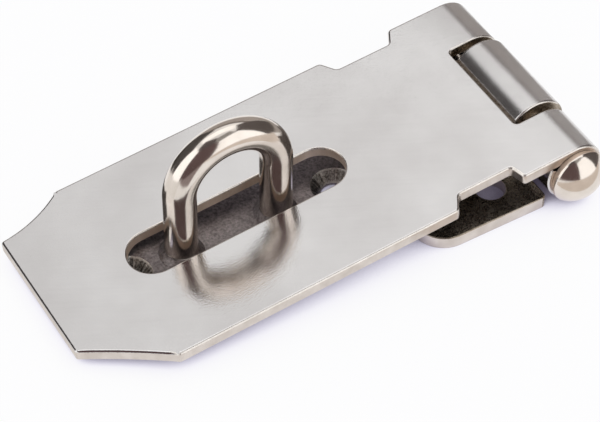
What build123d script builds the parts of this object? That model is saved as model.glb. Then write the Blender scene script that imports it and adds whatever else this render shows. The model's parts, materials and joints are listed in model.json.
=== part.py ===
"""Hasp and staple for a padlock, closed, lying as it is screwed down.

The hinge leaf and the staple plate lie flat on Z = 0. The origin is midway
between the hinge leaf's screw holes. The hinge axis runs along Y on the +X
side, and the hasp leaf reaches from it towards -X and leans down until it
meets the staple plate. Each piece is drawn about the foot of the hinge axis
and moved to the origin at the end. All lengths are in millimetres, all angles
in degrees.
"""
import os
from math import asin, cos, degrees, hypot, radians, sin, sqrt

from build123d import *

# Hasp leaf: one strip of sheet, its hinge end rolled under into two curls
LEAF_WIDTH = 45.0
LEAF_OVERHANG = 10.4       # front edge beyond the staple plate's front edge
LEAF_SHEET = 2.2
LEAF_EDGE_BREAK = 0.45     # bevel along the top edge of the outline
SEAM_GAP = 0.4             # rolled end to the underside of its own sheet

FRONT_NEAR = 12.0          # front edge reaches this far to -Y
FRONT_FAR = 17.3           # and this far to +Y
NEAR_CUT = 14.8            # length of the corner cut on the -Y side
NEAR_HOLLOW = 0.3          # how far that cut bows inwards
FAR_CUT = 13.6             # length of the cove on the +Y side
FAR_HOLLOW = 1.1           # how far the cove bows inwards

TIP_ROUND = 0.6            # in plan, at the ends of the corner cut and the tip
COVE_ROUND = 1.5           # in plan, where the cove meets the side

NEAR_NOTCH = (24.2, 11.2)  # ends of the edge notches, from the hinge axis
FAR_NOTCH = (26.1, 11.8)
NOTCH_DEPTH = 3.2
NOTCH_LEAN = 2.0           # how far the front end of a notch leans over its depth
NEAR_BACK_LEAN = 0.8       # and its hinge end, on the -Y side
FAR_BACK_LEAN = 1.8        # and on the +Y side
NOTCH_ROUND = 1.0

SLOT_FRONT_GAP = 6.34      # slot end to the staple's sweep as the leaf turns
SLOT_BACK_GAP = 11.25      # other slot end to the staple's nearer leg
SLOT_SIDE_GAP = 1.9        # slot side to the staple's rod
INNER_EDGE_BREAK = 0.3     # bevel round the slot and the knuckle's opening

CUTOUT_WIDTH = 22.5        # opening for the middle knuckle
CUTOUT_CORNER = 1.0
KNUCKLE_CLEARANCE = 0.22   # cut-out edge to the middle knuckle

# Hinge pin, held by the two curls, with a low domed head on the -Y side
PIN_DIAMETER = 7.5
PIN_NECK_DIAMETER = 10.0   # neck under the head, against the curl's end
PIN_NECK = 1.05
PIN_HEAD_DIAMETER = 11.3
PIN_HEAD_RIM = 0.4         # straight part of the head, before its dome
PIN_HEAD_DOME = 3.4        # height of the dome
PIN_HEAD_GAP = 0.05
PIN_TAIL = 0.8             # how far the plain end stands out on the +Y side
PIN_TAIL_BREAK = 0.5       # bevel round the plain end
PIN_RUNNING_GAP = 0.08     # radial, inside the middle knuckle

# Hinge leaf: flat plate with a tongue rolled up into the middle knuckle
PLATE_SHEET = 2.6
PLATE_WIDTH = 44.4
PLATE_FRONT = 30.5         # hinge axis to the free end
PLATE_BACK = 5.5           # hinge axis to the shoulders beside the tongue
PLATE_FRONT_CORNER = 6.0
PLATE_BACK_CORNER = 1.0
PLATE_EDGE_BREAK = 0.25    # bevel along the top edge
KNUCKLE_WIDTH = 19.4
PLATE_HOLE = 5.8
PLATE_HOLE_BACK = 13.4     # hinge axis to the hole centres
PLATE_HOLE_SPACING = 30.2

# Staple plate: flat, two countersunk screw holes
BASE_SHEET = 2.5
BASE_LENGTH = 55.0
BASE_WIDTH = 24.0
BASE_GAP = 1.2             # hinge leaf's free end to the staple plate
BASE_CORNER = 5.0
BASE_EDGE_BREAK = 0.3      # bevel along the top edge
BASE_HOLE = 5.0
BASE_SINK = 9.0
BASE_HOLE_SPACING = 42.8

# Staple: one bent rod, its ends shouldered into the plate
ROD_DIAMETER = 6.1
ROD_SPACING = 19.6         # between the leg centres
ROD_OFFSET = 0.8           # staple's middle beyond the plate's middle
ROD_TOP = 29.8             # highest point above the ground
ROD_FOOT = 5.0             # shoulder diameter inside the plate
ROD_FOOT_GAP = 0.05
ROD_COLLAR = 1.2           # weld swelling at the foot of a leg
ROD_COLLAR_HEIGHT = 1.6

REST_GAP = 0.3             # closed leaf to the staple plate

# Everything below follows from the dimensions above
PIN_RADIUS = PIN_DIAMETER / 2
CURL_RADIUS = PIN_RADIUS + LEAF_SHEET
KNUCKLE_RADIUS = PIN_RADIUS + PIN_RUNNING_GAP + PLATE_SHEET
AXIS_HEIGHT = KNUCKLE_RADIUS
LEAF_HALF = LEAF_WIDTH / 2
BASE_CENTRE = PLATE_FRONT + BASE_GAP + BASE_LENGTH / 2
BASE_FRONT = BASE_CENTRE + BASE_LENGTH / 2
LEAF_REACH = BASE_FRONT + LEAF_OVERHANG
ROD_CENTRE = BASE_CENTRE + ROD_OFFSET
BOW_OUTER = (ROD_SPACING + ROD_DIAMETER) / 2
BOW_HEIGHT = ROD_TOP - BOW_OUTER
SLOT_WIDTH = ROD_DIAMETER + 2 * SLOT_SIDE_GAP


def closed_lean():
    """Angle at which the leaf's underside clears the plate's front edge by REST_GAP."""
    rise = AXIS_HEIGHT - BASE_SHEET - REST_GAP
    distance = sqrt(BASE_FRONT**2 + rise**2)
    return degrees(asin(PIN_RADIUS / distance) + asin(rise / distance))


LEAN = closed_lean()


def slot_ends():
    """X of the slot's two ends, from the ring that the staple sweeps about the hinge axis."""
    farthest = hypot(ROD_CENTRE, BOW_HEIGHT - AXIS_HEIGHT) + BOW_OUTER
    nearest = ROD_CENTRE - BOW_OUTER
    return -farthest - SLOT_FRONT_GAP, -nearest + SLOT_BACK_GAP


SLOT_START, SLOT_END = slot_ends()


def from_front(x):
    """Distance from the leaf's front edge, as X measured from the hinge axis."""
    return x - LEAF_REACH


def bowed(start, end, hollow):
    """Arc from start to end that bows to the right of its direction by hollow."""
    run = Vector(*end) - Vector(*start)
    side = Vector(run.Y, -run.X).normalized()
    middle = (Vector(*start) + Vector(*end)) * 0.5 + side * hollow
    return ThreePointArc(start, (middle.X, middle.Y), end)


def notch_points(span, back_lean, side):
    """Corners of an edge notch, from its front end to its hinge end."""
    start, end = (-x for x in span)
    outer, inner = side * LEAF_HALF, side * (LEAF_HALF - NOTCH_DEPTH)
    return [
        (start - NOTCH_LEAN / 2, outer),
        (start + NOTCH_LEAN / 2, inner),
        (end - back_lean, inner),
        (end, outer),
    ]


def leaf_outline():
    """Plan of the hasp leaf's flat part, without its slot."""
    front = from_front(0)
    near_tip, far_tip = (front, -FRONT_NEAR), (front, FRONT_FAR)
    near_end = (from_front(NEAR_CUT), -LEAF_HALF)
    far_end = (from_front(FAR_CUT), LEAF_HALF)
    near_notch = notch_points(NEAR_NOTCH, NEAR_BACK_LEAN, -1)
    far_notch = notch_points(FAR_NOTCH, FAR_BACK_LEAN, 1)
    with BuildSketch() as plan:
        with BuildLine():
            Line(far_tip, near_tip)
            bowed(near_tip, near_end, -NEAR_HOLLOW)
            Polyline(near_end, *near_notch, (0, -LEAF_HALF), (0, LEAF_HALF), *reversed(far_notch), far_end)
            bowed(far_end, far_tip, -FAR_HOLLOW)
        make_face()
        notch_corners = near_notch + far_notch
        fillet([v for v in plan.vertices() if is_at(v, notch_corners)], NOTCH_ROUND)
        fillet([v for v in plan.vertices() if is_at(v, [near_tip, near_end, far_tip])], TIP_ROUND)
        fillet([v for v in plan.vertices() if is_at(v, [far_end])], COVE_ROUND)
    return plan.sketch


def is_at(vertex, places):
    """True where a vertex of a sketch lies on one of the given points."""
    return any(abs(vertex.X - x) < 1e-3 and abs(vertex.Y - y) < 1e-3 for x, y in places)


def curl(inner, outer, start, sweep, width):
    """Rolled sheet: a ring sector in the XZ plane, drawn out along Y about the axis."""
    first, last = radians(start), radians(start + sweep)
    mid = radians(start + sweep / 2)

    def on(radius, angle):
        return (radius * cos(angle), radius * sin(angle))

    with BuildSketch(Plane.XZ) as section:
        with BuildLine():
            ThreePointArc(on(outer, first), on(outer, mid), on(outer, last))
            Line(on(outer, last), on(inner, last))
            ThreePointArc(on(inner, last), on(inner, mid), on(inner, first))
            Line(on(inner, first), on(outer, first))
        make_face()
    return extrude(section.sketch, amount=width / 2, both=True)


def leaf_curl(side):
    """One of the two outer curls: over the axis, down, round and back up to the leaf."""
    width = LEAF_HALF - CUTOUT_WIDTH / 2
    stop = degrees(asin((PIN_RADIUS - SEAM_GAP) / CURL_RADIUS))
    sweep = 90 + 180 + stop
    roll = curl(PIN_RADIUS, CURL_RADIUS, 90, -sweep, width)
    return Pos(0, side * (LEAF_HALF - width / 2), 0) * roll


def cutout():
    """Opening for the middle knuckle, through the leaf up to the hinge end."""
    reach = sqrt((KNUCKLE_RADIUS + KNUCKLE_CLEARANCE) ** 2 - PIN_RADIUS**2)
    length = reach + 2 * CURL_RADIUS
    plan = Pos(-reach + length / 2, 0) * RectangleRounded(length, CUTOUT_WIDTH, CUTOUT_CORNER)
    return extrude(plan, amount=3 * CURL_RADIUS, both=True)


def slot():
    """Slot over the staple, round at both ends."""
    plan = Pos((SLOT_START + SLOT_END) / 2, 0) * SlotOverall(SLOT_END - SLOT_START, SLOT_WIDTH)
    return extrude(plan, amount=2 * CURL_RADIUS)


def on_leaf_skin(edge):
    """True for an edge of the top face or of the curls' rims, where the sheet's outside turns."""
    points = [edge @ t for t in (0, 0.5, 1)]
    flat = all(abs(p.Z - CURL_RADIUS) < 1e-4 and p.X < 1e-4 for p in points)
    rolled = all(abs(sqrt(p.X**2 + p.Z**2) - CURL_RADIUS) < 1e-4 for p in points)
    along = abs(points[0].Y - points[2].Y) > 1e-4 and rolled
    return (flat or rolled) and not along


def hasp_leaf():
    """Hasp leaf about its own hinge axis, its top face level."""
    flat = extrude(Pos(0, 0, PIN_RADIUS) * leaf_outline(), amount=LEAF_SHEET)
    leaf = flat + leaf_curl(-1) + leaf_curl(1) - cutout() - slot()
    skin = [e for e in leaf.edges() if on_leaf_skin(e)]
    inner = [e for e in skin if is_inner(e @ 0.5)]
    outer = [e for e in skin if not is_inner(e @ 0.5)]
    leaf = chamfer(outer, LEAF_EDGE_BREAK)
    rest = [e for e in leaf.edges() if on_leaf_skin(e) and any(same_middle(e, k) for k in inner)]
    return chamfer(rest, INNER_EDGE_BREAK)


def is_inner(point):
    """True for a point on the slot's rim or on the rim of the knuckle's opening."""
    in_slot = SLOT_START - 1 < point.X < SLOT_END + 1 and abs(point.Y) < SLOT_WIDTH / 2 + 1e-3
    in_opening = point.X > -2 * CURL_RADIUS and abs(point.Y) < CUTOUT_WIDTH / 2 + 1e-3
    return in_slot or in_opening


def same_middle(a, b):
    """True where two edges share their middle point."""
    return ((a @ 0.5) - (b @ 0.5)).length < 1e-3


def hinge_pin():
    """Hinge pin about its own axis, turned along Y: plain tail, shank, neck and domed head."""
    neck, head = PIN_NECK_DIAMETER / 2, PIN_HEAD_DIAMETER / 2
    seat = LEAF_HALF + PIN_HEAD_GAP
    under = seat + PIN_NECK
    rim = under + PIN_HEAD_RIM
    crown = (head**2 + PIN_HEAD_DOME**2) / (2 * PIN_HEAD_DOME)
    tail = -(LEAF_HALF + PIN_TAIL)
    with BuildSketch(Plane.XZ) as section:
        with BuildLine():
            Polyline((0, rim + PIN_HEAD_DOME), (0, tail), (PIN_RADIUS, tail), (PIN_RADIUS, seat))
            Polyline((PIN_RADIUS, seat), (neck, seat), (neck, under), (head, under), (head, rim))
            RadiusArc((head, rim), (0, rim + PIN_HEAD_DOME), -crown)
        make_face()
        chamfer([v for v in section.vertices() if is_at(v, [(PIN_RADIUS, tail)])], PIN_TAIL_BREAK)
    return Rot(90, 0, 0) * revolve(section.sketch, Axis.Z)


def hinge_leaf():
    """Hinge leaf, its underside on the ground."""
    length = PLATE_FRONT - PLATE_BACK
    with BuildSketch() as plan:
        with Locations((-(PLATE_FRONT + PLATE_BACK) / 2, 0)):
            Rectangle(length, PLATE_WIDTH)
        with Locations((-PLATE_FRONT / 2, 0)):
            Rectangle(PLATE_FRONT, KNUCKLE_WIDTH)
        sides = (-PLATE_WIDTH / 2, PLATE_WIDTH / 2)
        front = [(-PLATE_FRONT, y) for y in sides]
        back = [(-PLATE_BACK, y) for y in sides]
        fillet([v for v in plan.vertices() if is_at(v, front)], PLATE_FRONT_CORNER)
        fillet([v for v in plan.vertices() if is_at(v, back)], PLATE_BACK_CORNER)
        with Locations(*[(-PLATE_HOLE_BACK, s * PLATE_HOLE_SPACING / 2) for s in (-1, 1)]):
            Circle(PLATE_HOLE / 2, mode=Mode.SUBTRACT)
    flat = extrude(plan.sketch, amount=PLATE_SHEET)
    top = [e for e in flat.edges() if is_level(e, PLATE_SHEET) and not e.is_closed]
    flat = chamfer([e for e in top if (e @ 0.5).X < 1e-3 - PLATE_BACK], PLATE_EDGE_BREAK)
    stop = degrees(asin((KNUCKLE_RADIUS - PLATE_SHEET - SEAM_GAP) / KNUCKLE_RADIUS))
    knuckle = curl(PIN_RADIUS + PIN_RUNNING_GAP, KNUCKLE_RADIUS, -90, 270 + stop, KNUCKLE_WIDTH)
    return flat + Pos(0, 0, AXIS_HEIGHT) * knuckle


def is_level(edge, height):
    """True for an edge that lies level at the given height."""
    return all(abs((edge @ t).Z - height) < 1e-4 for t in (0, 0.5, 1))


def staple_plate():
    """Staple plate, its underside on the ground."""
    plate = extrude(RectangleRounded(BASE_LENGTH, BASE_WIDTH, BASE_CORNER), amount=BASE_SHEET)
    plate = chamfer([e for e in plate.edges() if is_level(e, BASE_SHEET)], BASE_EDGE_BREAK)
    sink_depth = (BASE_SINK - BASE_HOLE) / 2
    for side in (-1, 1):
        x = side * BASE_HOLE_SPACING / 2
        plate = plate - Pos(x, 0, BASE_SHEET / 2) * Cylinder(BASE_HOLE / 2, 2 * BASE_SHEET)
        sink = Cone(BASE_HOLE / 2, BASE_SINK / 2, sink_depth)
        plate = plate - Pos(x, 0, BASE_SHEET - sink_depth / 2) * sink
    plate = Pos(-BASE_CENTRE, 0, 0) * plate
    for x in leg_places():
        plate = plate - Pos(x, 0, BASE_SHEET / 2) * Cylinder(ROD_FOOT / 2 + ROD_FOOT_GAP, 2 * BASE_SHEET)
    return plate


def leg_places():
    """X of the staple's two legs."""
    return [-ROD_CENTRE - ROD_SPACING / 2, -ROD_CENTRE + ROD_SPACING / 2]


def leg_foot(x):
    """Shoulder inside the plate and weld swelling on top of it."""
    rod = ROD_DIAMETER / 2
    with BuildSketch(Plane.XZ) as section:
        with BuildLine():
            Polyline(
                (0, 0), (ROD_FOOT / 2, 0), (ROD_FOOT / 2, BASE_SHEET), (rod + ROD_COLLAR, BASE_SHEET),
                (rod, BASE_SHEET + ROD_COLLAR_HEIGHT), (0, BASE_SHEET + ROD_COLLAR_HEIGHT), (0, 0),
            )
        make_face()
    return Pos(x, 0, 0) * revolve(section.sketch, Axis.Z)


def staple():
    """Staple: two legs and the half-round bow between them."""
    bow = ROD_SPACING / 2
    spring = BOW_HEIGHT
    left, right = leg_places()
    with BuildLine(Plane.XZ) as path:
        Line((left, BASE_SHEET), (left, spring))
        ThreePointArc((left, spring), (-ROD_CENTRE, spring + bow), (right, spring))
        Line((right, spring), (right, BASE_SHEET))
    section = Plane(origin=(left, 0, BASE_SHEET), z_dir=(0, 0, 1)) * Circle(ROD_DIAMETER / 2)
    rod = sweep(section, path=path.line)
    return rod + leg_foot(left) + leg_foot(right)


def about_axis(shape, lean=0.0):
    """Place a shape drawn about the hinge axis, leaning down towards -X."""
    return Location((0, 0, AXIS_HEIGHT), (0, -lean, 0)) * shape


def main():
    os.makedirs("parts", exist_ok=True)
    pieces = {
        "hasp_leaf": about_axis(hasp_leaf(), LEAN),
        "hinge_pin": about_axis(hinge_pin()),
        "hinge_leaf": hinge_leaf(),
        "staple_plate": staple_plate(),
        "staple": staple(),
    }
    for name, shape in pieces.items():
        solid = (Pos(PLATE_HOLE_BACK, 0, 0) * shape).solids()[0]
        export_step(solid, f"parts/{name}.step")
        box = solid.bounding_box()
        print(f"{name}: {len(shape.solids())} solid, {solid.volume:.1f} mm3")
        print(f"  X {box.min.X:.2f} to {box.max.X:.2f}")
        print(f"  Y {box.min.Y:.2f} to {box.max.Y:.2f}")
        print(f"  Z {box.min.Z:.2f} to {box.max.Z:.2f}")
    print(f"lean {LEAN:.3f} degrees, axis {AXIS_HEIGHT:.3f} above the ground")


main()
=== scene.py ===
# %% [markdown]
# # A hasp and its staple in a small studio
# The object is a steel hasp for a padlock: a long slotted leaf on a pin hinge, closed over
# a bent rod that stands on a small plate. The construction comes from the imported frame.
# Here each piece is modelled again with its edges rounded and its metal finished, at the
# same size and in the same place, and then it rides on the frame's moving bodies.

import json
import math

import bmesh
import bpy
from mathutils import Matrix, Vector


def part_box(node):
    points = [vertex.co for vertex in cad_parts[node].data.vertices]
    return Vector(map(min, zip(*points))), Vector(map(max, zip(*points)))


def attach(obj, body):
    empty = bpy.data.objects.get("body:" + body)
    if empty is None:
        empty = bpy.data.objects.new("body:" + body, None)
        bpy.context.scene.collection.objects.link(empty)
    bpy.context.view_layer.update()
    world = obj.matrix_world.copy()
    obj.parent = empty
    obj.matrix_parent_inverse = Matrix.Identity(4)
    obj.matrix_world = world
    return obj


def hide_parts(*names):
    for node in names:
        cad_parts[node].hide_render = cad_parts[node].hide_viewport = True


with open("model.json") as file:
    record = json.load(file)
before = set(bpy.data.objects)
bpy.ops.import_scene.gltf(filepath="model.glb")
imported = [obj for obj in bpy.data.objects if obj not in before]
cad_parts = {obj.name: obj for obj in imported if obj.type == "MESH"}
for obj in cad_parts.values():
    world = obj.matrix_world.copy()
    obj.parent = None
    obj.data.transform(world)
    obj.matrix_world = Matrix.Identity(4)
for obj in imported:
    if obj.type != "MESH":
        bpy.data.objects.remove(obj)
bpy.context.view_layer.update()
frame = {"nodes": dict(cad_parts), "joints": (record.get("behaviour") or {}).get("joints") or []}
MM = 0.001

# %% [markdown]
# ## Reading the hinge from the frame
# Nothing is placed by eye. The joint gives the hinge axis, and the largest flat face of the
# CAD leaf gives the angle at which the closed leaf leans down to its free end.

# %% The hinge axis and the lean of the closed leaf
axis_x, axis_y, axis_z = frame["joints"][0]["pos_m"]
leaf_mesh = frame["nodes"]["hasp_leaf"].data
top_face = max((f for f in leaf_mesh.polygons if f.normal.z > 0.9), key=lambda f: f.area)
lean = math.atan2(-top_face.normal.x, top_face.normal.z)
print("hinge axis in mm:", round(axis_x / MM, 2), round(axis_z / MM, 2))
print("the closed leaf leans by", round(math.degrees(lean), 3), "degrees")

# %% [markdown]
# ## Helpers for modelling by hand
# Every piece starts as a primitive and is shaped in edit mode, where an operator acts on all
# that is selected. So each step first deselects everything, and then selects faces or edges
# by where they are. The helpers below only save that typing. They take millimetres, because
# that is what a drawing of such a part is written in.

# %% Selecting and editing
def only(piece):
    """Leave edit mode and select one object alone."""
    if bpy.context.object and bpy.context.object.mode != "OBJECT":
        bpy.ops.object.mode_set(mode="OBJECT")
    bpy.ops.object.select_all(action="DESELECT")
    piece.select_set(True)
    bpy.context.view_layer.objects.active = piece


def pick(piece, kind, test):
    """Open a piece in edit mode with only the faces or edges selected that pass a test."""
    only(piece)
    bpy.ops.object.mode_set(mode="EDIT")
    bpy.ops.mesh.select_mode(type=kind)
    bpy.ops.mesh.select_all(action="DESELECT")
    mesh = bmesh.from_edit_mesh(piece.data)
    found = [part for part in (mesh.faces if kind == "FACE" else mesh.edges) if test(part)]
    for part in found:
        part.select_set(True)
    bmesh.update_edit_mesh(piece.data)
    return len(found)


def done(piece):
    """Turn every face outwards and go back to object mode."""
    bpy.ops.mesh.select_all(action="SELECT")
    bpy.ops.mesh.normals_make_consistent(inside=False)
    only(piece)
    return piece


def near(value, target, slack=0.01):
    """True for two lengths in millimetres that are the same."""
    return abs(value - target) < slack


# %% Primitives at their size and place
def block(name, low, high):
    """Cube primitive between two corners."""
    bpy.ops.object.select_all(action="DESELECT")
    low, high = Vector(low), Vector(high)
    bpy.ops.mesh.primitive_cube_add(size=MM, location=(low + high) / 2 * MM, scale=high - low)
    return settle(name)


def drum(name, x, y, radius, low, high, corners=64, top_radius=None):
    """Upright cylinder primitive, or a cone where its top has another radius."""
    bpy.ops.object.select_all(action="DESELECT")
    bpy.ops.mesh.primitive_cone_add(
        vertices=corners, radius1=radius * MM, radius2=(top_radius or radius) * MM,
        depth=(high - low) * MM, location=Vector((x, y, (low + high) / 2)) * MM,
    )
    return settle(name)


def settle(name):
    """Name the new object and put its place and size into its mesh."""
    bpy.ops.object.transform_apply(location=True, rotation=True, scale=True)
    bpy.context.object.name = name
    return bpy.context.object


# %% Cutting and rounding
TOOL_REACH = 1.0  # how far a cutting tool stands out past the sheet


def modify(piece, kind, **settings):
    """Add a modifier and apply it at once."""
    only(piece)
    modifier = piece.modifiers.new(kind.lower(), kind)
    for name, value in settings.items():
        setattr(modifier, name, value)
    bpy.ops.object.modifier_apply(modifier=modifier.name)


def cut(piece, tool):
    """Take a tool's volume out of a piece and remove the tool."""
    modify(piece, "BOOLEAN", operation="DIFFERENCE", object=tool, solver="EXACT")
    bpy.data.objects.remove(tool, do_unlink=True)


def bevel(piece, reach, segments, test):
    """Round the edges that pass a test, starting the rounding at a reach from the edge."""
    count = pick(piece, "EDGE", test)
    bpy.ops.mesh.bevel(offset=reach * MM, offset_type="OFFSET", segments=segments, profile=0.5,
                       affect="EDGES", clamp_overlap=False, loop_slide=True)
    done(piece)
    return count


def round_corners(piece, reach, places, segments=6):
    """Round the upright edges of a sheet that stand at the given (x, y) places."""
    def at_place(edge):
        a, b = (point.co / MM for point in edge.verts)
        upright = near(a.x, b.x) and near(a.y, b.y) and not near(a.z, b.z)
        return upright and any(near(a.x, x, 0.05) and near(a.y, y, 0.05) for x, y in places)

    return bevel(piece, reach, segments, at_place)


def round_rims(piece, reach, test, segments=4):
    """Round the sharp edges whose two ends, in millimetres, pass a test."""
    def sharp_rim(edge):
        sharp = len(edge.link_faces) == 2 and edge.calc_face_angle(0) > math.radians(40)
        return sharp and test(*(point.co / MM for point in edge.verts))

    return bevel(piece, reach, segments, sharp_rim)


# %% Finishing a mesh and measuring it
SHARP_ANGLE, SMOOTH_ANGLE = math.radians(50), math.radians(32)


def finish_mesh(piece, node, width=0.08):
    """Break what is still sharp, smooth the shading and compare with the CAD node."""
    modify(piece, "BEVEL", width=width * MM, segments=2, limit_method="ANGLE",
           angle_limit=SHARP_ANGLE, use_clamp_overlap=False)
    only(piece)
    bpy.ops.object.shade_smooth_by_angle(angle=SMOOTH_ANGLE)
    modify(piece, "WEIGHTED_NORMAL", keep_sharp=True, weight=80)
    low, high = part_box(node)
    points = [point.co for point in piece.data.vertices]
    off = [min(p[i] for p in points) - low[i] for i in range(3)]
    off += [max(p[i] for p in points) - high[i] for i in range(3)]
    print(piece.name, len(piece.data.polygons), "faces, open edges", open_edges(piece),
          "- off the CAD box by", [round(gap / MM, 2) for gap in off], "mm")


def open_edges(piece):
    """How many edges of a piece don't join exactly two faces."""
    joined = {}
    for face in piece.data.polygons:
        for key in face.edge_keys:
            joined[key] = joined.get(key, 0) + 1
    return sum(1 for count in joined.values() if count != 2)


# %% [markdown]
# ## The hasp leaf: from strip to blank
# The real leaf is stamped from strip and its hinge end is then rolled under into two curls.
# It is modelled in the same order, lying level, with the hinge axis at the origin. A cube
# gives the strip. Two cuts across it mark off the two lugs that will be rolled, and
# extruding their ends leaves the opening for the middle knuckle between them.

# %% Hasp leaf: strip with two lugs
PIN_RADIUS = 3.75
LEAF_SHEET = 2.2
LEAF_SKIN = PIN_RADIUS + LEAF_SHEET
LEAF_CUT = (PIN_RADIUS - TOOL_REACH, LEAF_SKIN + TOOL_REACH)
LEAF_REACH = 97.1
LEAF_HALF = 22.5
OPENING_HALF = 11.25
OPENING_REACH = 5.49
OPENING_CORNER = 1.0


def split_lengthways(piece, half):
    """Cut a sheet along its length on both sides of the middle."""
    for y in (-half, half):
        pick(piece, "FACE", lambda face: True)
        bpy.ops.mesh.bisect(plane_co=(0, y * MM, 0), plane_no=(0, 1, 0))
        done(piece)


def pull_lugs(piece, start, step, test):
    """Extrude the end faces at start, whose middles pass a test, along X by a step."""
    def end_face(face):
        middle = face.calc_center_median() / MM
        return near(middle.x, start) and face.normal.x > 0.9 and test(middle)

    count = pick(piece, "FACE", end_face)
    bpy.ops.mesh.extrude_region_move(TRANSFORM_OT_translate={"value": (step * MM, 0, 0)})
    done(piece)
    return count


leaf = block("rolled_leaf", (-LEAF_REACH, -LEAF_HALF, PIN_RADIUS),
             (-OPENING_REACH, LEAF_HALF, LEAF_SKIN))
split_lengthways(leaf, OPENING_HALF)
lugs = pull_lugs(leaf, -OPENING_REACH, OPENING_REACH, lambda middle: abs(middle.y) > OPENING_HALF)
round_corners(leaf, OPENING_CORNER, [(-OPENING_REACH, y) for y in (-OPENING_HALF, OPENING_HALF)])
print("strip with", lugs, "lugs,", len(leaf.data.vertices), "points")

# %% [markdown]
# The front corners aren't alike: the near one is cut almost straight, the far one is a
# hollow cove. Both are arcs, so a large and a small drum cut them. Where an arc of a known
# hollow passes through two points, its centre and radius follow from the chord.

# %% Hasp leaf: cut the front corners
TIP_NEAR, TIP_FAR = -12.0, 17.3
NEAR_CUT, NEAR_HOLLOW = 14.8, 0.3
FAR_CUT, FAR_HOLLOW = 13.6, 1.1
ARC_STEP = 0.8


def cut_corner(piece, tip_y, side_y, reach, hollow):
    """Cut a front corner by the drum whose arc runs from the tip to the side."""
    tip, side = Vector((-LEAF_REACH, tip_y)), Vector((reach - LEAF_REACH, side_y))
    chord = side - tip
    radius = chord.length ** 2 / (8 * hollow) + hollow / 2
    outward = Vector((-abs(chord.y), math.copysign(chord.x, side_y))).normalized()
    centre = (tip + side) / 2 + outward * (radius - hollow)
    corners = round(2 * math.pi * radius / ARC_STEP)
    cut(piece, drum("corner_tool", *centre, radius, *LEAF_CUT, corners))
    return radius


near_radius = cut_corner(leaf, TIP_NEAR, -LEAF_HALF, NEAR_CUT, NEAR_HOLLOW)
far_radius = cut_corner(leaf, TIP_FAR, LEAF_HALF, FAR_CUT, FAR_HOLLOW)
print("front corners cut to radii of", round(near_radius, 1), "and", round(far_radius, 1), "mm")

# %% Hasp leaf: slot and edge notches
SLOT_FROM, SLOT_TO, SLOT_RADIUS = -80.1, -35.9, 4.95
NOTCH_DEPTH, FRONT_LEAN = 3.2, 2.0
NEAR_NOTCH, NEAR_BACK_LEAN = (-24.2, -11.2), 0.8
FAR_NOTCH, FAR_BACK_LEAN = (-26.1, -11.8), 1.8
NOTCH_CORNER, TIP_CORNER, COVE_CORNER = 0.6, 0.3, 0.5
NOT_QUITE = 0.999  # leaves a sliver of flat, so that two corners don't meet in one line

slot = block("slot_tool", (SLOT_FROM, -SLOT_RADIUS, LEAF_CUT[0]),
             (SLOT_TO, SLOT_RADIUS, LEAF_CUT[1]))
slot_corners = [(x, y) for x in (SLOT_FROM, SLOT_TO) for y in (-SLOT_RADIUS, SLOT_RADIUS)]
round_corners(slot, SLOT_RADIUS * NOT_QUITE, slot_corners, segments=16)
cut(leaf, slot)


def cut_notch(piece, start, end, back_lean, side):
    """Cut an edge notch with leaning ends. Its tool is a block with one face drawn in."""
    inner, outer = side * (LEAF_HALF - NOTCH_DEPTH), side * LEAF_HALF
    wide = (start - FRONT_LEAN / 2, end)
    narrow = (start + FRONT_LEAN / 2, end - back_lean)
    tool = block("notch_tool", (wide[0], min(inner, outer), LEAF_CUT[0]),
                 (wide[1], max(inner, outer), LEAF_CUT[1]))
    pick(tool, "FACE", lambda face: near(face.calc_center_median().y / MM, inner))
    share = (narrow[1] - narrow[0]) / (wide[1] - wide[0])
    middle = Vector((sum(wide) / 2, inner, 0)) * MM
    bpy.ops.transform.resize(value=(share, 1, 1), center_override=middle)
    bpy.ops.transform.translate(value=((sum(narrow) - sum(wide)) / 2 * MM, 0, 0))
    done(tool)
    pick(tool, "FACE", lambda face: near(face.calc_center_median().y / MM, outer))
    outwards = {"value": (0, side * 2 * TOOL_REACH * MM, 0)}
    bpy.ops.mesh.extrude_region_move(TRANSFORM_OT_translate=outwards)
    cut(piece, done(tool))
    return [(wide[0], outer), (narrow[0], inner), (narrow[1], inner), (wide[1], outer)]


notch_corners = cut_notch(leaf, *NEAR_NOTCH, NEAR_BACK_LEAN, -1)
notch_corners += cut_notch(leaf, *FAR_NOTCH, FAR_BACK_LEAN, 1)
near_corners = [(-LEAF_REACH, TIP_NEAR), (NEAR_CUT - LEAF_REACH, -LEAF_HALF)]
far_corners = [(-LEAF_REACH, TIP_FAR), (FAR_CUT - LEAF_REACH, LEAF_HALF)]
rounded = round_corners(leaf, NOTCH_CORNER, notch_corners, segments=5)
rounded += round_corners(leaf, TIP_CORNER, near_corners, segments=3)
rounded += round_corners(leaf, COVE_CORNER, far_corners, segments=4)
print("slot and notches cut,", rounded, "corners rounded")

# %% [markdown]
# ## The hasp leaf: rolling and rounding
# The curls are made by spinning the two end faces about the hinge axis, which is what the
# rolling tool does. Spin leaves the sheet's thickness as it is and keeps the joint to the
# flat tangent. The curl stops just short of the leaf's underside, where the real one has
# its seam. Then the upper edge is rounded, as a polishing belt leaves it.

# %% Hasp leaf: roll the two curls
SEAM_GAP = 0.4
CURL_STEPS = 56


def roll(piece, turn, height):
    """Spin the end faces at x = 0 about the hinge axis, which lies at a height above z = 0."""
    def end_face(face):
        return face.normal.x > 0.9 and near(face.calc_center_median().x / MM, 0)

    ends = pick(piece, "FACE", end_face)
    bpy.ops.mesh.spin(steps=CURL_STEPS, angle=turn, center=(0, 0, height * MM), axis=(0, 1, 0))
    done(piece)
    return ends


curl_turn = math.radians(270) + math.asin((PIN_RADIUS - SEAM_GAP) / LEAF_SKIN)
ends = roll(leaf, -curl_turn, 0)
print(ends, "curls rolled through", round(math.degrees(curl_turn)), "degrees")

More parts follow.
